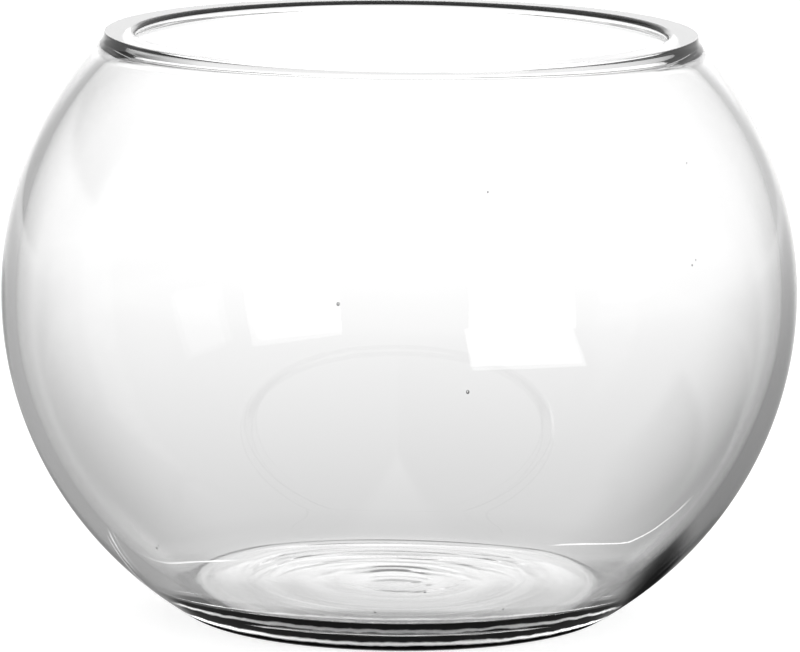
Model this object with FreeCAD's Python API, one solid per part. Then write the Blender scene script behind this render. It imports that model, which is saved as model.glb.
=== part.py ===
import FreeCAD, Part
import math
import os

# Rose bowl vase: one piece of clear glass, blown, cut across the mouth, ground flat there
# and fire-polished. Millimetres, +Z up. The origin is the centre of the foot, on the surface
# that the bowl stands on, and the bowl is a body of revolution about Z.

# Outside of the body, a squat ball that is cut off above and below
BODY_HEIGHT = 150.0
BODY_DIAMETER = 203.2
BELLY_HEIGHT = 82.9
NECK_DIAMETER = 152.2
FOOT_DIAMETER = 105.0

# Lip, a low collar that bends upright from the neck and draws in a little, with a ground top
LIP_HEIGHT = 2.4
LIP_DRAW_IN = 0.7
RIM_WIDTH = 10.4

# Glass thickness at the belly and at the centre of the floor
WALL = 3.9
FLOOR_THICKNESS = 7.0

# Shoulder, where the glass begins to thicken towards the lip: how far below the top, and the
# thickness there measured level
SHOULDER_DEPTH = 8.5
SHOULDER_WALL = 6.1

# How far the lip runs on in the body's own direction, outside and inside, before it bends
LIP_BEND_SHARE = 0.3

# Floor inside, and the slight hollow under the foot that leaves a ring to stand on
FLOOR_DIAMETER = 112.0
KICK_HEIGHT = 0.5
FOOT_RING_WIDTH = 9.5

# Rounded edges: the foot outside, the floor inside, and both edges of the ground top
HEEL_RADIUS = 10.0
FLOOR_EDGE_RADIUS = 24.0
LIP_OUTER_RADIUS = 0.4
LIP_INNER_RADIUS = 1.3

# Heights and radii that follow from these sizes
BODY_RADIUS = BODY_DIAMETER / 2
HOLLOW_RADIUS = BODY_RADIUS - WALL
NECK_HEIGHT = BODY_HEIGHT - LIP_HEIGHT
LIP_RADIUS = NECK_DIAMETER / 2 - LIP_DRAW_IN
MOUTH_RADIUS = LIP_RADIUS - RIM_WIDTH
SHOULDER_HEIGHT = BODY_HEIGHT - SHOULDER_DEPTH
FLOOR_HEIGHT = KICK_HEIGHT + FLOOR_THICKNESS
FULL_TURN = 360.0

# Outer radius of the body at the shoulder, on the same ellipse as the rest of its upper half
POLE_RISE = (NECK_HEIGHT - BELLY_HEIGHT) / math.sqrt(1 - (NECK_DIAMETER / BODY_DIAMETER) ** 2)
SHOULDER_RISE = (SHOULDER_HEIGHT - BELLY_HEIGHT) / POLE_RISE
SHOULDER_OUTER_RADIUS = BODY_RADIUS * math.sqrt(1 - SHOULDER_RISE ** 2)


def at(radius, height):
    """A point of the bowl's outline, in the XZ plane."""
    return FreeCAD.Vector(radius, 0, height)


KICK_CENTRE = at(0, KICK_HEIGHT)
KICK_EDGE = at(FOOT_DIAMETER / 2 - FOOT_RING_WIDTH, 0)
FOOT_EDGE = at(FOOT_DIAMETER / 2, 0)
NECK = at(NECK_DIAMETER / 2, NECK_HEIGHT)
LIP_EDGE = at(LIP_RADIUS, BODY_HEIGHT)
MOUTH_EDGE = at(MOUTH_RADIUS, BODY_HEIGHT)
SHOULDER = at(SHOULDER_OUTER_RADIUS - SHOULDER_WALL, SHOULDER_HEIGHT)
FLOOR_EDGE = at(FLOOR_DIAMETER / 2, FLOOR_HEIGHT)
FLOOR_CENTRE = at(0, FLOOR_HEIGHT)


def line(start, end):
    """A straight edge of the outline."""
    return Part.LineSegment(start, end).toShape()


def dish(centre, edge):
    """A shallow arc that is level at the centre line and ends at an edge point."""
    drop = centre.z - edge.z
    radius = (edge.x ** 2 + drop ** 2) / (2 * drop)
    half_angle = math.asin(edge.x / radius) / 2
    middle = at(radius * math.sin(half_angle), centre.z - radius * (1 - math.cos(half_angle)))
    return Part.Arc(centre, middle, edge).toShape()


def belly_curve(belly_radius, end):
    """An upright ellipse's edge from the belly, where the wall is plumb, to an end point."""
    rise = end.z - BELLY_HEIGHT
    pole_rise = rise / math.sqrt(1 - (end.x / belly_radius) ** 2)
    centre = at(0, BELLY_HEIGHT)
    belly = at(belly_radius, BELLY_HEIGHT)
    pole = at(0, BELLY_HEIGHT + pole_rise)
    angle = math.asin(rise / pole_rise)
    if abs(pole_rise) > belly_radius:
        ellipse = Part.Ellipse(pole, belly, centre)
        return Part.ArcOfEllipse(ellipse, math.pi / 2 - angle, math.pi / 2).toShape()
    ellipse = Part.Ellipse(belly, pole, centre)
    return Part.ArcOfEllipse(ellipse, 0, angle).toShape()


def lip_curve(belly_radius, start, end):
    """One side of the lip, which leaves the body's own curve without a crease and ends at the top."""
    body = belly_curve(belly_radius, start)
    upward = body.tangentAt(body.Curve.parameter(start))
    upward.multiply(math.copysign(LIP_BEND_SHARE * start.distanceToPoint(end), upward.z))
    bend = Part.BezierCurve()
    bend.setPoles([start, start + upward, end])
    return bend.toShape()


def rounded(solid, corner, radius):
    """The solid with its round edge through one outline point given a radius."""
    rings = [edge for edge in solid.Edges if edge.isClosed()]
    ring = min(rings, key=lambda edge: edge.distToShape(Part.Vertex(corner))[0])
    return solid.makeFillet(radius, [ring])


def glass_bowl():
    """The whole bowl, turned from its outline, with its edges rounded."""
    outline = [
        dish(KICK_CENTRE, KICK_EDGE),
        line(KICK_EDGE, FOOT_EDGE),
        belly_curve(BODY_RADIUS, FOOT_EDGE),
        belly_curve(BODY_RADIUS, NECK),
        lip_curve(BODY_RADIUS, NECK, LIP_EDGE),
        line(LIP_EDGE, MOUTH_EDGE),
        lip_curve(HOLLOW_RADIUS, SHOULDER, MOUTH_EDGE),
        belly_curve(HOLLOW_RADIUS, SHOULDER),
        belly_curve(HOLLOW_RADIUS, FLOOR_EDGE),
        line(FLOOR_EDGE, FLOOR_CENTRE),
        line(FLOOR_CENTRE, KICK_CENTRE),
    ]
    section = Part.Face(Part.Wire(Part.sortEdges(outline)[0]))
    solid = section.revolve(at(0, 0), at(0, 1), FULL_TURN)
    solid = rounded(solid, FOOT_EDGE, HEEL_RADIUS)
    solid = rounded(solid, LIP_EDGE, LIP_OUTER_RADIUS)
    solid = rounded(solid, MOUTH_EDGE, LIP_INNER_RADIUS)
    return rounded(solid, FLOOR_EDGE, FLOOR_EDGE_RADIUS)


def save(node, solid):
    """One STEP file per sub-part, with its size printed."""
    box = solid.BoundBox
    print(node, "valid", solid.isValid(), "solids", len(solid.Solids), "volume", round(solid.Volume))
    print("box", [round(size, 3) for size in (box.XMin, box.YMin, box.ZMin, box.XMax, box.YMax, box.ZMax)])
    solid.exportStep(os.path.join("parts", node + ".step"))


os.makedirs("parts", exist_ok=True)
save("glass_bowl", glass_bowl())
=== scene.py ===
import math

import bmesh
import bpy
from mathutils import Matrix, Vector, geometry, noise


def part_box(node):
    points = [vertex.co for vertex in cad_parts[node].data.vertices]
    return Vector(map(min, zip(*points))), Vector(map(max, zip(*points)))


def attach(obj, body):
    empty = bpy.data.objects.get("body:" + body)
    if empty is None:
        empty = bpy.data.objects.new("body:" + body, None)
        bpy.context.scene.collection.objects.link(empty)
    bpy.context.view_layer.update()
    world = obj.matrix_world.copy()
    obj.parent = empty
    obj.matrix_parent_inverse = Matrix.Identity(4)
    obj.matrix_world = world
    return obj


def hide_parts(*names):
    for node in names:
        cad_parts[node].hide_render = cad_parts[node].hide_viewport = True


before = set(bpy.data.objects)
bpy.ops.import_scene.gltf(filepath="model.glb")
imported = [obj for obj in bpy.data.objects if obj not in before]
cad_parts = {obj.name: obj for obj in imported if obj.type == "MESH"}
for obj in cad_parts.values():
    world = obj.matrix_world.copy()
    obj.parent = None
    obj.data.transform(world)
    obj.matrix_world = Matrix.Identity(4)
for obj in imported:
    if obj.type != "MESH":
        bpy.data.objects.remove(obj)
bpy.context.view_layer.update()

# Metres, in the frame of the CAD model: +Z up, the origin in the middle of the foot. The camera
# looks from -Y, so +X is on its right.

# Outside of the body, a squat ball that is cut off above and below. Its width and height are the
# CAD node's own.
LOW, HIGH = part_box("glass_bowl")
BODY_RADIUS = (HIGH[0] - LOW[0]) / 2
BODY_HEIGHT = HIGH[2]
BELLY_HEIGHT = 0.0829
NECK_RADIUS = 0.0761
FOOT_RADIUS = 0.0525

# Lip, a low collar that bends upright from the neck and draws in a little, with a ground top
LIP_HEIGHT = 0.0024
LIP_DRAW_IN = 0.0007
RIM_WIDTH = 0.0104

# How far the lip runs on in the body's own direction, outside and inside, before it bends
LIP_BEND_SHARE = 0.3

# Glass thickness at the belly and at the centre of the floor
WALL = 0.0039
FLOOR_THICKNESS = 0.0070

# Shoulder inside, where the glass begins to thicken towards the lip
SHOULDER_DEPTH = 0.0085
SHOULDER_WALL = 0.0061

# Floor inside, and the slight hollow under the foot that leaves a ring to stand on
FLOOR_RADIUS = 0.0560
KICK_HEIGHT = 0.0005
FOOT_RING_WIDTH = 0.0095

# Radii of the rounded edges
HEEL_ROUND = 0.010
FLOOR_ROUND = 0.024
LIP_OUTER_ROUND = 0.0004
LIP_INNER_ROUND = 0.0013

# Heights and radii that follow from these sizes
HOLLOW_RADIUS = BODY_RADIUS - WALL
NECK_HEIGHT = BODY_HEIGHT - LIP_HEIGHT
LIP_RADIUS = NECK_RADIUS - LIP_DRAW_IN
MOUTH_RADIUS = LIP_RADIUS - RIM_WIDTH
SHOULDER_HEIGHT = BODY_HEIGHT - SHOULDER_DEPTH
FLOOR_HEIGHT = KICK_HEIGHT + FLOOR_THICKNESS

# How finely the glass is meshed: round the axis, along each stretch and round each edge
TURN_STEPS = 240
BELLY_STEPS = 40
LIP_STEPS = 12
RIM_STEPS = 12
FLOOR_STEPS = 60
KICK_STEPS = 16
FOOT_RING_STEPS = 6
HEEL_ROUND_STEPS = 40
FLOOR_ROUND_STEPS = 20
LIP_OUTER_ROUND_STEPS = 10
LIP_INNER_ROUND_STEPS = 20
SEED_SUBDIVISIONS = 3

# Points this near are one, and points this near a level lie on it
MERGE_DISTANCE = 0.000001
LEVEL_MARGIN = 0.00001

# Hand-blown unevenness: the shoulder leans to the left, the inside is slightly wavy, rings run
# round the thick floor and fine ridges round the heel
LEAN = 0.00035
LEAN_TOP = 0.9955
LEAN_POWER = 3
WAVE_DEPTH = 0.00012
WAVE_SCALE = 28
RIPPLE_DEPTH = 0.00007
RIPPLE_LENGTH = 0.0135
RIPPLE_REACH = 0.046
RIDGE_DEPTH = 0.00007
RIDGE_LENGTH = 0.0017
RIDGE_TOP = 0.012

# Clear glass against air, and the ground top: how near the top a face is ground, and how dull
GLASS_IOR = 1.5
GROUND_MARGIN = 0.00002
GROUND_ROUGHNESS = 0.03

# Seed bubbles inside the wall: distance from the axis, turn from +X in degrees, height, radius
SEEDS = [
    (0.0964, 195.3, 0.1069, 0.00030),
    (0.0988, 261.5, 0.0952, 0.00040),
    (0.0992, 279.7, 0.0741, 0.00040),
    (0.0911, 283.4, 0.1213, 0.00022),
    (0.0897, 321.2, 0.1242, 0.00018),
    (0.0979, 316.7, 0.1007, 0.00022),
    (0.0977, 317.6, 0.1018, 0.00016),
    (0.0807, 223.1, 0.0275, 0.00035),
    (0.0813, 224.0, 0.0284, 0.00022),
    (0.0751, 275.3, 0.0208, 0.00028),
    (0.0688, 265.7, 0.0146, 0.00030),
    (0.0689, 292.3, 0.0147, 0.00026),
]
SEED_STRETCH = 1.25

# The camera: its fitted distance, height angle and roll, the lens that gives the photograph's
# scale, and the point that it looks at, a little right of the axis and below half height
CAMERA_DISTANCE = 1.8
CAMERA_ELEVATION = math.radians(9.15)
CAMERA_ROLL = math.radians(0.5)
CAMERA_CLIP = (0.1, 100)
IMAGE_WIDTH_PX = 800
FOCAL_LENGTH_PX = 7040
SENSOR_WIDTH_MM = 36
AIM_RIGHT = 0.0003
AIM_DROP = 0.0008
AIM = Vector((AIM_RIGHT, 0, BODY_HEIGHT / 2 - AIM_DROP))

# The studio, as the glass shows it: a lit path painted as glow on the white table widens into a
# bright sweep of sky behind the bowl, painted shade darkens the table's sides and the sky's sides
# are dimmer, and a soft light and a window stand to the right of the camera. All light and shade
# on the table is painted into its glow, which only the glass sees. Brightness is in linear light,
# where 1 is the picture's white. Turns on the table and in the sky run from 0 straight behind the
# bowl to 180 degrees towards the camera. A pair of places, turns or distances is where a change
# starts and ends.
WHITE = (1, 1, 1, 1)

# The table, just below the foot, and how the camera sees it
TABLE_DROP = 0.0002
TABLE_RADIUS = 6
TABLE_STEPS = 64
TABLE_COLOUR = (0.8, 0.8, 0.8, 1)
TABLE_GLOW = 0.60

# The lit path, light painted as glow on the table: its half width beside the bowl, how much that
# grows with each metre behind and the least that it can be, the shares of it between which the
# path's edges fade, and how bright it is near and far. The sky's bright sweep uses the same spread
# and edges.
PAINTED_PATH_HALF_WIDTH = 0.05
PATH_SPREAD = 0.31
PATH_LEAST = 0.0001
PATH_EDGES = (0.6, 1.4)
PAINTED_PATH_NEAR = 0.40
PAINTED_PATH_FAR = 1.15
PAINTED_PATH_FAR_AT = 0.77

# Shade painted on the table's sides, which makes them darker: how bright near the bowl on the left
# and on the right, how bright far off, and how soon past the middle the left becomes the right
PAINTED_SIDE_SHADE_NEAR = (0.40, 0.26)
PAINTED_SIDE_SHADE_NEAR_AT = 0.12
PAINTED_SIDE_SHADE_FAR = 0.68
PAINTED_SIDE_SHADE_FAR_AT = 2.6
MIDDLE_FADE = 0.001

# Light painted on the table in front of the foot: how bright, from which turns on and out to which
# distances
PAINTED_FRONT_LIGHT = 0.45
PAINTED_FRONT_TURNS = (math.radians(95), math.radians(125))
PAINTED_FRONT_ENDS = (0.09, 0.16)

# A shadow painted on the table to the right of the foot, which gives the dark crescent in the
# glass: its middle, its edges, how much light is left in it, and how much more it wobbles than a
# line
PAINTED_SHADOW_PLACE = (0.0735, 0.004, 0)
PAINTED_SHADOW_EDGES = (0.0085, 0.034)
PAINTED_SHADOW_SHARE = 0.07
PAINTED_SHADOW_WOBBLE = 5

# Shade painted round the front of the foot, with rings of light painted in it that give the heel
# its light and dark lines: each ring's radius, width and brightness
PAINTED_SHADE_SPAN = (0.0520, 0.0630)
PAINTED_SHADE_FADE = 0.0005
PAINTED_SHADE_LIGHT = 0.08
PAINTED_SHADE_ENDS = (-0.025, -0.005)
PAINTED_LIGHT_RINGS = [(0.0551, 0.0012, 4), (0.0600, 0.0011, 2.5)]

# Light painted on the table under the foot, in place of the light that the thick floor gathers:
# brighter towards the back, darkest at the front end, with faint painted rings
PAINTED_UNDER_RADIUS = 0.051
PAINTED_UNDER_FADE = 0.001
PAINTED_UNDER_LIGHT = (0.43, 0.72)
PAINTED_UNDER_LIGHT_CHANGE = (-0.008, 0.020)
PAINTED_UNDER_FRONT_SHARE = 0.12
PAINTED_UNDER_FRONT_ENDS = (-0.033, -0.026)
PAINTED_UNDER_RING_LENGTH = 0.011
PAINTED_UNDER_RING_SHARE = 0.12

# A contact shadow painted as a dark line round the foot, and how much light is left in it. A line's
# edge fades over its width divided by the edge part, to either side.
PAINTED_CONTACT_SHADOW_RADIUS = 0.0538
PAINTED_CONTACT_SHADOW_WIDTH = 0.0014
PAINTED_CONTACT_SHADOW_SHARE = 0.08
LINE_EDGE_PART = 3

# Thin lines of light painted on the table behind the foot on both sides: one sloping course, which
# bends away to the back on the right and is broken in the middle
PAINTED_LIGHT_LINE_BACK = 0.033
PAINTED_LIGHT_LINE_SLOPE = 0.27
PAINTED_LIGHT_LINE_BEND = 17.3
PAINTED_LIGHT_LINE_BEND_FROM = 0.05
PAINTED_LIGHT_LINE_EDGES = (0.0006, 0.0012)
PAINTED_LIGHT_LINE_ENDS = (0.044, 0.092)
PAINTED_LIGHT_LINE_END_FADE = 0.004
PAINTED_LIGHT_LINE_LIGHT = 1.4

# How far the lines of light and the shadow painted on the table stray from their course, and how
# finely
WOBBLE = 0.0016
WOBBLE_SCALE = 180
NOISE_MIDDLE = 0.5

# The sky, where a height is the sine of its angle: the sweep behind and its brighter low part, the
# sides on the left and on the right, the room beyond them, a dark corner on the left and the top
SKY_BEHIND = 1.15
SKY_LOW_BEHIND = 1.6
SKY_LOW_HEIGHTS = (0.09, 0.21)
SKY_SIDES = (0.48, 0.60)
SKY_ROOM = 0.76
SKY_ROOM_TURNS = (math.radians(35), math.radians(65))
SKY_CORNER = 0.05
SKY_CORNER_TURNS = (math.radians(32), math.radians(72))
SKY_CORNER_TURN_FADE = math.radians(4)
SKY_CORNER_HEIGHTS = (0.25, 0.66)
SKY_HEIGHT_FADE = 0.03
SKY_ABOVE = 0.9
SKY_ABOVE_HEIGHTS = (0.09, 0.85)

# The soft light and the window, both upright: how far to the right of the camera they turn, how
# high they reach and how bright they are. A pool of light painted on the table beside the soft
# light is as bright, and starts this far from the bowl.
LIGHT_DISTANCE = 2.0
SOFT_LIGHT_TURNS = (math.radians(19.5), math.radians(50))
SOFT_LIGHT_HEIGHTS = (0, 1.0)
SOFT_LIGHT_STRENGTH = 2.6
WINDOW_TURNS = (math.radians(60), math.radians(77))
WINDOW_HEIGHTS = (0.22, 0.9)
WINDOW_STRENGTH = 1.4
PAINTED_POOL_TURNS = (math.radians(18.5), math.radians(49))
PAINTED_POOL_TURN_FADE = math.radians(0.3)
PAINTED_POOL_STARTS = (0.427, 0.433)


def pole_rise_of(belly_radius, end_radius, end_height):
    """How far above the belly an upright ellipse through the belly and an end point reaches."""
    return (end_height - BELLY_HEIGHT) / math.sqrt(1 - (end_radius / belly_radius) ** 2)


def belly_curve(belly_radius, end_radius, end_height):
    """Points of an upright ellipse from the belly to an end point, both included."""
    rise = end_height - BELLY_HEIGHT
    pole_rise = pole_rise_of(belly_radius, end_radius, end_height)
    end_angle = math.asin(rise / pole_rise)
    angles = [end_angle * step / BELLY_STEPS for step in range(BELLY_STEPS + 1)]
    return [
        Vector((belly_radius * math.cos(a), BELLY_HEIGHT + pole_rise * math.sin(a))) for a in angles
    ]


def line(start, end, steps):
    """Points of a straight stretch, both ends included."""
    return [start.lerp(end, step / steps) for step in range(steps + 1)]


def lip_curve(body, end):
    """Points of one side of the lip, which leaves the body without a crease and ends at the top."""
    start = body[-1]
    bend = start + (start - body[-2]).normalized() * LIP_BEND_SHARE * (end - start).length
    shares = [step / LIP_STEPS for step in range(LIP_STEPS + 1)]
    return [start.lerp(bend, s).lerp(bend.lerp(end, s), s) for s in shares]


def dish(centre_height, edge_radius):
    """Points of a shallow arc, level at the centre line, down to its edge at height zero."""
    radius = (edge_radius ** 2 + centre_height ** 2) / (2 * centre_height)
    end_angle = math.asin(edge_radius / radius)
    angles = [end_angle * step / KICK_STEPS for step in range(KICK_STEPS + 1)]
    return [
        Vector((radius * math.sin(a), centre_height - radius * (1 - math.cos(a)))) for a in angles
    ]


def left_normals(points):
    """For each point of a stretch, the unit direction to its left."""
    normals = []
    for before, after in zip(points[:1] + points[:-1], points[1:] + points[-1:]):
        along = (after - before).normalized()
        normals.append(Vector((-along.y, along.x)))
    return normals


def normal_at(place, points, normals, step):
    """The direction to the left at a place on one step of a stretch."""
    share = (place - points[step]).length / (points[step + 1] - points[step]).length
    return normals[step].lerp(normals[step + 1], share).normalized()


def rounded(before, after, radius, steps):
    """Two stretches that meet at a corner, with a tangent arc of this radius added to the first."""
    normals_before = left_normals(before)
    normals_after = left_normals(after)
    side = 1 if normals_before[-1].cross(normals_after[0]) > 0 else -1
    shifted_before = [p + n * side * radius for p, n in zip(before, normals_before)]
    shifted_after = [p + n * side * radius for p, n in zip(after, normals_after)]
    for i in reversed(range(len(before) - 1)):
        for j in range(len(after) - 1):
            centre = geometry.intersect_line_line_2d(
                shifted_before[i], shifted_before[i + 1], shifted_after[j], shifted_after[j + 1])
            if centre:
                start = -side * normal_at(centre, shifted_before, normals_before, i)
                end = -side * normal_at(centre, shifted_after, normals_after, j)
                whole_turn = -start.angle_signed(end)
                turns = [Matrix.Rotation(whole_turn * k / steps, 2) for k in range(steps + 1)]
                arc = [centre + radius * (turn @ start) for turn in turns]
                return before[:i + 1] + arc, after[j + 1:]
    raise ValueError("no room for this radius")


def outline():
    """The bowl's outline, from the middle of the foot round the outside and over the lip to the
    middle of the floor."""
    kick_edge = Vector((FOOT_RADIUS - FOOT_RING_WIDTH, 0))
    foot = Vector((FOOT_RADIUS, 0))
    lip = Vector((LIP_RADIUS, BODY_HEIGHT))
    mouth = Vector((MOUTH_RADIUS, BODY_HEIGHT))
    floor = Vector((FLOOR_RADIUS, FLOOR_HEIGHT))
    pole_rise = pole_rise_of(BODY_RADIUS, NECK_RADIUS, NECK_HEIGHT)
    shoulder_rise = (SHOULDER_HEIGHT - BELLY_HEIGHT) / pole_rise
    shoulder_radius = BODY_RADIUS * math.sqrt(1 - shoulder_rise ** 2) - SHOULDER_WALL
    under = dish(KICK_HEIGHT, kick_edge.x)
    ring = line(kick_edge, foot, FOOT_RING_STEPS)
    outside_up = belly_curve(BODY_RADIUS, NECK_RADIUS, NECK_HEIGHT)
    outside = belly_curve(BODY_RADIUS, foot.x, foot.y)[::-1]
    outside += outside_up[1:] + lip_curve(outside_up, lip)[1:]
    top = line(lip, mouth, RIM_STEPS)
    inside_up = belly_curve(HOLLOW_RADIUS, shoulder_radius, SHOULDER_HEIGHT)
    inside = lip_curve(inside_up, mouth)[::-1] + inside_up[-2::-1]
    inside += belly_curve(HOLLOW_RADIUS, floor.x, floor.y)[1:]
    bottom = line(floor, Vector((0, FLOOR_HEIGHT)), FLOOR_STEPS)
    ring, outside = rounded(ring, outside, HEEL_ROUND, HEEL_ROUND_STEPS)
    outside, top = rounded(outside, top, LIP_OUTER_ROUND, LIP_OUTER_ROUND_STEPS)
    top, inside = rounded(top, inside, LIP_INNER_ROUND, LIP_INNER_ROUND_STEPS)
    inside, bottom = rounded(inside, bottom, FLOOR_ROUND, FLOOR_ROUND_STEPS)
    return under[:-1] + ring + outside + top + inside + bottom


def swell(distance, length):
    """A smooth wave from nought to one and back over each length."""
    return (1 - math.cos(math.tau * distance / length)) / 2


def make_uneven(bm):
    """Leans the shoulder, and gives the inside its waves, the floor its rings and the heel its
    ridges."""
    for vert in bm.verts:
        x, y, z = vert.co
        radius = math.hypot(x, y)
        outward = vert.normal.x * x + vert.normal.y * y
        if z > BELLY_HEIGHT:
            rise = (z - BELLY_HEIGHT) / (BODY_HEIGHT - BELLY_HEIGHT)
            vert.co.x -= LEAN * math.sin(math.pi * min(1, rise / LEAN_TOP) ** LEAN_POWER)
        if outward < 0 and FLOOR_HEIGHT < z < SHOULDER_HEIGHT:
            wave = noise.noise(Vector((x, y, z)) * WAVE_SCALE)
            vert.co += vert.normal * WAVE_DEPTH * wave
        if abs(z - FLOOR_HEIGHT) < LEVEL_MARGIN and radius < RIPPLE_REACH:
            fade = 1 - (radius / RIPPLE_REACH) ** 2
            vert.co.z -= RIPPLE_DEPTH * fade * swell(radius, RIPPLE_LENGTH)
        if outward > 0 and LEVEL_MARGIN < z < RIDGE_TOP:
            wander = RIDGE_LENGTH * noise.noise(Vector((x, y, 0)) * WAVE_SCALE)
            fade = math.sin(math.pi * z / RIDGE_TOP)
            vert.co -= vert.normal * RIDGE_DEPTH * swell(z + wander, RIDGE_LENGTH) * fade


def piece_of(name, bm, *materials):
    """A piece of the scene, made from a finished shape and its materials."""
    mesh = bpy.data.meshes.new(name)
    bm.to_mesh(mesh)
    bm.free()
    for material in materials:
        mesh.materials.append(material)
    piece = bpy.data.objects.new(name, mesh)
    bpy.context.collection.objects.link(piece)
    return piece


def glass(name, roughness=0, ior=GLASS_IOR):
    """Clear, colourless glass, or the air of a bubble inside it."""
    material = bpy.data.materials.new(name)
    material.use_nodes = True
    shader = material.node_tree.nodes["Principled BSDF"]
    shader.inputs["Base Color"].default_value = WHITE
    shader.inputs["Transmission Weight"].default_value = 1
    shader.inputs["Roughness"].default_value = roughness
    shader.inputs["IOR"].default_value = ior
    return material


def glass_bowl():
    """The blown bowl: its outline spun about the upright axis, with ground glass on the flat top."""
    bm = bmesh.new()
    points = [bm.verts.new((p.x, 0, p.y)) for p in outline()]
    edges = [bm.edges.new(pair) for pair in zip(points, points[1:])]
    bmesh.ops.spin(
        bm, geom=points + edges, cent=(0, 0, 0), axis=(0, 0, 1), dvec=(0, 0, 0),
        angle=math.tau, steps=TURN_STEPS, use_merge=True)
    bmesh.ops.remove_doubles(bm, verts=bm.verts, dist=MERGE_DISTANCE)
    bmesh.ops.recalc_face_normals(bm, faces=bm.faces)
    bm.normal_update()
    for face in bm.faces:
        face.smooth = True
        face.material_index = int(face.calc_center_median().z > BODY_HEIGHT - GROUND_MARGIN)
    make_uneven(bm)
    return piece_of("blown_bowl", bm, glass("clear_glass"), glass("ground_glass", GROUND_ROUGHNESS))


def seed_bubbles():
    """The few small bubbles that the gather of glass trapped, each a little taller than wide."""
    bm = bmesh.new()
    stretch = Matrix.Diagonal((1, 1, SEED_STRETCH, 1))
    for away, turn, height, radius in SEEDS:
        angle = math.radians(turn)
        place = Matrix.Translation((away * math.cos(angle), away * math.sin(angle), height))
        bmesh.ops.create_icosphere(
            bm, subdivisions=SEED_SUBDIVISIONS, radius=radius, matrix=place @ stretch)
    for face in bm.faces:
        face.smooth = True
    return piece_of("seed_bubbles", bm, glass("bubble_air", ior=1 / GLASS_IOR))


def put(tree, value, socket):
    """Gives a node's input a number, or another node's result."""
    if isinstance(value, bpy.types.NodeSocket):
        tree.links.new(value, socket)
    else:
        socket.default_value = value


def calculate(tree, operation, *values):
    """A sum on numbers and sockets, as a socket."""
    node = tree.nodes.new("ShaderNodeMath")
    node.operation = operation
    for socket, value in zip(node.inputs, values):
        put(tree, value, socket)
    return node.outputs["Value"]


def times(tree, *factors):
    """The product of numbers and sockets, as a socket."""
    product = factors[0]
    for factor in factors[1:]:
        product = calculate(tree, "MULTIPLY", product, factor)
    return product


def ramp(tree, value, start, end, first=0.0, last=1.0, even=False):
    """A socket that eases, or runs evenly, from the first result to the last over a stretch."""
    node = tree.nodes.new("ShaderNodeMapRange")
    node.interpolation_type = "LINEAR" if even else "SMOOTHSTEP"
    put(tree, value, node.inputs["Value"])
    put(tree, start, node.inputs["From Min"])
    put(tree, end, node.inputs["From Max"])
    put(tree, first, node.inputs["To Min"])
    put(tree, last, node.inputs["To Max"])
    return node.outputs["Result"]


def blend(tree, share, first, last):
    """A socket between two results, by a share."""
    return ramp(tree, share, 0, 1, first, last, even=True)


def between(tree, value, low, high, fade):
    """A share that is one between two limits and fades across them."""
    rise = ramp(tree, value, low - fade, low + fade)
    fall = ramp(tree, value, high - fade, high + fade, 1, 0)
    return times(tree, rise, fall)


def on_line(tree, value, middle, width):
    """A share that is one along a narrow line and fades at its edges."""
    return between(tree, value, middle - width / 2, middle + width / 2, width / LINE_EDGE_PART)


def parts_of(tree, place):
    """The X, Y and Z of a place or direction."""
    node = tree.nodes.new("ShaderNodeSeparateXYZ")
    tree.links.new(place, node.inputs["Vector"])
    return node.outputs["X"], node.outputs["Y"], node.outputs["Z"]


def distance_from(tree, place, point):
    """How far a place lies from a point."""
    node = tree.nodes.new("ShaderNodeVectorMath")
    node.operation = "DISTANCE"
    tree.links.new(place, node.inputs[0])
    node.inputs[1].default_value = point
    return node.outputs["Value"]


def wobble_of(tree, place):
    """A small uneven shift along the table, which keeps the painted lines of light and painted
    shadow from being perfect.
    """
    node = tree.nodes.new("ShaderNodeTexNoise")
    tree.links.new(place, node.inputs["Vector"])
    node.inputs["Scale"].default_value = WOBBLE_SCALE
    return times(tree, calculate(tree, "SUBTRACT", node.outputs["Fac"], NOISE_MIDDLE), WOBBLE)


def studio_sides():
    """The group that gives, for a place or direction seen from the bowl, its share of the darker
    sides, which on the table are painted shade, its turn from straight behind and whether it is
    on the right."""
    tree = bpy.data.node_groups.new("studio_sides", "ShaderNodeTree")
    tree.interface.new_socket("Place", in_out="INPUT", socket_type="NodeSocketVector")
    tree.interface.new_socket("Start", in_out="INPUT", socket_type="NodeSocketFloat")
    for name in ("Side", "Turn", "Right"):
        tree.interface.new_socket(name, in_out="OUTPUT", socket_type="NodeSocketFloat")
    entry = tree.nodes.new("NodeGroupInput")
    result = tree.nodes.new("NodeGroupOutput")
    x, y = parts_of(tree, entry.outputs["Place"])[:2]
    across = calculate(tree, "ABSOLUTE", x)
    half_width = calculate(tree, "MULTIPLY_ADD", y, PATH_SPREAD, entry.outputs["Start"])
    share = calculate(tree, "DIVIDE", across, calculate(tree, "MAXIMUM", half_width, PATH_LEAST))
    tree.links.new(ramp(tree, share, *PATH_EDGES), result.inputs["Side"])
    tree.links.new(calculate(tree, "ARCTAN2", across, y), result.inputs["Turn"])
    tree.links.new(ramp(tree, x, -MIDDLE_FADE, MIDDLE_FADE), result.inputs["Right"])
    return tree


def sides_of(tree, group, place, start):
    """The three outputs of the studio's sides for a place or direction."""
    node = tree.nodes.new("ShaderNodeGroup")
    node.node_tree = group
    tree.links.new(place, node.inputs["Place"])
    node.inputs["Start"].default_value = start
    return node.outputs["Side"], node.outputs["Turn"], node.outputs["Right"]


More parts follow.
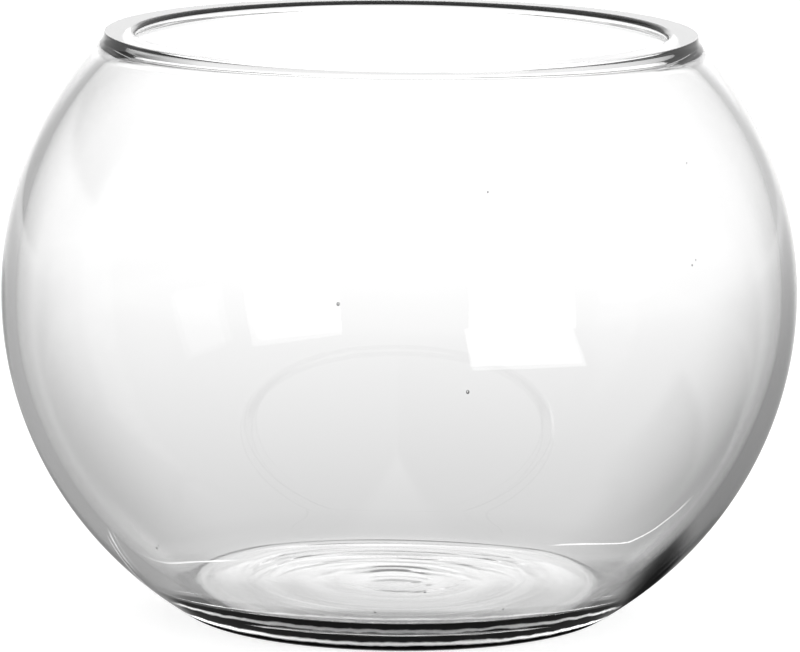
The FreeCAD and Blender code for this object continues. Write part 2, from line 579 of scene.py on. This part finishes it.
def painted_front_shade_and_rings(tree, y, away, wobble, light):
    """The table's light with shade painted in front of the foot and rings of light painted in it."""
    front = ramp(tree, y, *PAINTED_SHADE_ENDS, 1, 0)
    painted_front_shade = times(tree, front, between(tree, away, *PAINTED_SHADE_SPAN, PAINTED_SHADE_FADE))
    light = blend(tree, painted_front_shade, light, PAINTED_SHADE_LIGHT)
    uneven = calculate(tree, "ADD", away, wobble)
    for radius, width, strength in PAINTED_LIGHT_RINGS:
        ring = times(tree, front, on_line(tree, uneven, radius, width))
        light = blend(tree, ring, light, strength)
    return light


def painted_light_under_foot(tree, y, away, light):
    """The table's light with light painted under the foot and a painted contact shadow round it."""
    painted_gathered_light = ramp(tree, y, *PAINTED_UNDER_LIGHT_CHANGE, *PAINTED_UNDER_LIGHT)
    front = ramp(tree, y, *PAINTED_UNDER_FRONT_ENDS, PAINTED_UNDER_FRONT_SHARE, 1)
    painted_under_rings = calculate(tree, "COSINE", times(tree, away, math.tau / PAINTED_UNDER_RING_LENGTH))
    painted_under_rings = calculate(tree, "MULTIPLY_ADD", painted_under_rings, PAINTED_UNDER_RING_SHARE, 1)
    outside = ramp(tree, away, PAINTED_UNDER_RADIUS - PAINTED_UNDER_FADE, PAINTED_UNDER_RADIUS + PAINTED_UNDER_FADE)
    light = blend(tree, outside, times(tree, painted_gathered_light, front, painted_under_rings), light)
    # A contact shadow painted round the foot
    painted_contact_shadow = on_line(tree, away, PAINTED_CONTACT_SHADOW_RADIUS, PAINTED_CONTACT_SHADOW_WIDTH)
    return blend(tree, painted_contact_shadow, light, times(tree, light, PAINTED_CONTACT_SHADOW_SHARE))


def painted_light_lines(tree, x, y, wobble, light):
    """The table's light with thin lines of light painted behind the foot on both sides."""
    straight = calculate(tree, "MULTIPLY_ADD", x, PAINTED_LIGHT_LINE_SLOPE, PAINTED_LIGHT_LINE_BACK)
    past = calculate(tree, "SUBTRACT", x, PAINTED_LIGHT_LINE_BEND_FROM)
    bend = calculate(tree, "POWER", calculate(tree, "MAXIMUM", past, 0), 2)
    course = calculate(tree, "MULTIPLY_ADD", bend, PAINTED_LIGHT_LINE_BEND, straight)
    course = calculate(tree, "ADD", course, wobble)
    off = calculate(tree, "ABSOLUTE", calculate(tree, "SUBTRACT", y, course))
    aside = calculate(tree, "ABSOLUTE", x)
    ends = between(tree, aside, *PAINTED_LIGHT_LINE_ENDS, PAINTED_LIGHT_LINE_END_FADE)
    painted_line_share = times(tree, ramp(tree, off, *PAINTED_LIGHT_LINE_EDGES, 1, 0), ends)
    return blend(tree, painted_line_share, light, PAINTED_LIGHT_LINE_LIGHT)


def painted_table_light(tree, group):
    """The light and shade painted as glow at each place on the table, which the glass shows."""
    place = tree.nodes.new("ShaderNodeTexCoord").outputs["Object"]
    x, y = parts_of(tree, place)[:2]
    away = distance_from(tree, place, (0, 0, 0))
    reach = calculate(tree, "SQRT", away)
    wobble = wobble_of(tree, place)
    side, turn, right = sides_of(tree, group, place, PAINTED_PATH_HALF_WIDTH)
    # A lit path painted on the table, with painted shade on the sides beside it
    painted_path = ramp(tree, reach, 0, math.sqrt(PAINTED_PATH_FAR_AT), PAINTED_PATH_NEAR, PAINTED_PATH_FAR, even=True)
    painted_shade_near = blend(tree, right, *PAINTED_SIDE_SHADE_NEAR)
    near_at, far_at = math.sqrt(PAINTED_SIDE_SHADE_NEAR_AT), math.sqrt(PAINTED_SIDE_SHADE_FAR_AT)
    sides = ramp(tree, reach, near_at, far_at, painted_shade_near, PAINTED_SIDE_SHADE_FAR, even=True)
    # Light painted on the table in front of the foot
    front = times(tree, ramp(tree, turn, *PAINTED_FRONT_TURNS), ramp(tree, away, *PAINTED_FRONT_ENDS, 1, 0))
    light = blend(tree, side, painted_path, blend(tree, front, sides, PAINTED_FRONT_LIGHT))
    # A shadow painted on the table to the right of the foot
    off = distance_from(tree, place, PAINTED_SHADOW_PLACE)
    off = calculate(tree, "ADD", off, times(tree, wobble, PAINTED_SHADOW_WOBBLE))
    light = times(tree, light, ramp(tree, off, *PAINTED_SHADOW_EDGES, PAINTED_SHADOW_SHARE, 1))
    # Shade and rings of light painted on the table in front of the foot
    light = painted_front_shade_and_rings(tree, y, away, wobble, light)
    # Light painted under the foot, with a painted contact shadow round it
    light = painted_light_under_foot(tree, y, away, light)
    # Thin lines of light painted on the table behind the foot
    light = painted_light_lines(tree, x, y, wobble, light)
    # A pool of light from the soft light, painted on the table
    from_camera = calculate(tree, "SUBTRACT", math.pi, turn)
    across = between(tree, from_camera, *PAINTED_POOL_TURNS, PAINTED_POOL_TURN_FADE)
    painted_pool = times(tree, across, ramp(tree, away, *PAINTED_POOL_STARTS), right)
    return blend(tree, painted_pool, light, SOFT_LIGHT_STRENGTH)


def sky_light(tree, group):
    """The brightness that the glass shows in each direction of the sky."""
    direction = tree.nodes.new("ShaderNodeTexCoord").outputs["Generated"]
    height = parts_of(tree, direction)[2]
    side, turn, right = sides_of(tree, group, direction, 0)
    beyond = ramp(tree, turn, *SKY_ROOM_TURNS)
    sides = blend(tree, beyond, blend(tree, right, *SKY_SIDES), SKY_ROOM)
    corner_across = between(tree, turn, *SKY_CORNER_TURNS, SKY_CORNER_TURN_FADE)
    corner_up = between(tree, height, *SKY_CORNER_HEIGHTS, SKY_HEIGHT_FADE)
    left = calculate(tree, "SUBTRACT", 1, right)
    sides = blend(tree, times(tree, corner_across, corner_up, left), sides, SKY_CORNER)
    low = between(tree, height, *SKY_LOW_HEIGHTS, SKY_HEIGHT_FADE)
    light = blend(tree, side, blend(tree, low, SKY_BEHIND, SKY_LOW_BEHIND), sides)
    return blend(tree, ramp(tree, height, *SKY_ABOVE_HEIGHTS), light, SKY_ABOVE)


def glow_of(tree, strength):
    """A plain white glow, whose strength is a number or a socket."""
    node = tree.nodes.new("ShaderNodeEmission")
    put(tree, strength, node.inputs["Strength"])
    return node


def empty_material(name):
    """A material that has only its output."""
    material = bpy.data.materials.new(name)
    material.use_nodes = True
    nodes = material.node_tree.nodes
    nodes.remove(nodes["Principled BSDF"])
    return material


def white_to_camera(tree, shown_in_glass, shown_to_camera, output):
    """Ends a material or world that looks one way to the camera and another way in the glass."""
    choice = tree.nodes.new("ShaderNodeMixShader")
    light_path = tree.nodes.new("ShaderNodeLightPath")
    tree.links.new(light_path.outputs["Is Camera Ray"], choice.inputs["Fac"])
    tree.links.new(shown_in_glass.outputs[0], choice.inputs[1])
    tree.links.new(shown_to_camera.outputs[0], choice.inputs[2])
    tree.links.new(choice.outputs[0], output.inputs["Surface"])


def table_material(group):
    """White to the camera, with the bowl's shadow; the glass shows light and shade painted on the
    table.
    """
    material = empty_material("table")
    tree = material.node_tree
    painted_light_in_glass = glow_of(tree, painted_table_light(tree, group))
    paper = tree.nodes.new("ShaderNodeBsdfDiffuse")
    paper.inputs["Color"].default_value = TABLE_COLOUR
    plain = tree.nodes.new("ShaderNodeAddShader")
    tree.links.new(paper.outputs[0], plain.inputs[0])
    tree.links.new(glow_of(tree, TABLE_GLOW).outputs[0], plain.inputs[1])
    white_to_camera(tree, painted_light_in_glass, plain, tree.nodes["Material Output"])
    return material


def table(group):
    """The white table that the bowl stands on."""
    bm = bmesh.new()
    below = Matrix.Translation((0, 0, -TABLE_DROP))
    bmesh.ops.create_circle(
        bm, cap_ends=True, segments=TABLE_STEPS, radius=TABLE_RADIUS, matrix=below)
    piece = piece_of("table", bm, table_material(group))


def sky(group):
    """White to the camera; the glass shows the bright sweep behind and the darker room round it."""
    world = bpy.data.worlds.new("studio")
    world.use_nodes = True
    tree = world.node_tree
    room = tree.nodes["Background"]
    room.inputs["Color"].default_value = WHITE
    tree.links.new(sky_light(tree, group), room.inputs["Strength"])
    white = tree.nodes.new("ShaderNodeBackground")
    white.inputs["Color"].default_value = WHITE
    white_to_camera(tree, room, white, tree.nodes["World Output"])
    bpy.context.scene.world = world


def upright_light(name, turns, heights, strength):
    """An evenly bright upright panel to the right of the camera."""
    bm = bmesh.new()
    ends = [Vector((math.sin(t), -math.cos(t), 0)) * LIGHT_DISTANCE for t in turns]
    low = [bm.verts.new(end + Vector((0, 0, heights[0]))) for end in ends]
    high = [bm.verts.new(end + Vector((0, 0, heights[1]))) for end in reversed(ends)]
    bm.faces.new(low + high)
    material = empty_material(name)
    tree = material.node_tree
    surface = tree.nodes["Material Output"].inputs["Surface"]
    tree.links.new(glow_of(tree, strength).outputs[0], surface)
    piece = piece_of(name, bm, material)


def camera():
    """The camera, at the photograph's viewing angle."""
    data = bpy.data.cameras.new("camera")
    data.sensor_width = SENSOR_WIDTH_MM
    data.lens = FOCAL_LENGTH_PX / IMAGE_WIDTH_PX * SENSOR_WIDTH_MM
    data.clip_start, data.clip_end = CAMERA_CLIP
    piece = bpy.data.objects.new("camera", data)
    bpy.context.collection.objects.link(piece)
    back = Vector((0, -math.cos(CAMERA_ELEVATION), math.sin(CAMERA_ELEVATION)))
    level = (-back).to_track_quat("-Z", "Y").to_matrix().to_4x4()
    turn = level @ Matrix.Rotation(CAMERA_ROLL, 4, "Z")
    piece.matrix_world = Matrix.Translation(AIM + back * CAMERA_DISTANCE) @ turn
    bpy.context.scene.camera = piece


bowl = glass_bowl()
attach(bowl, "root")
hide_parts("glass_bowl")
seeds = seed_bubbles()
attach(seeds, "root")
studio = studio_sides()
table(studio)
sky(studio)
upright_light("soft_light", SOFT_LIGHT_TURNS, SOFT_LIGHT_HEIGHTS, SOFT_LIGHT_STRENGTH)
upright_light("window", WINDOW_TURNS, WINDOW_HEIGHTS, WINDOW_STRENGTH)
camera()
bpy.context.scene.view_settings.view_transform = "Standard"

bpy.context.view_layer.update()
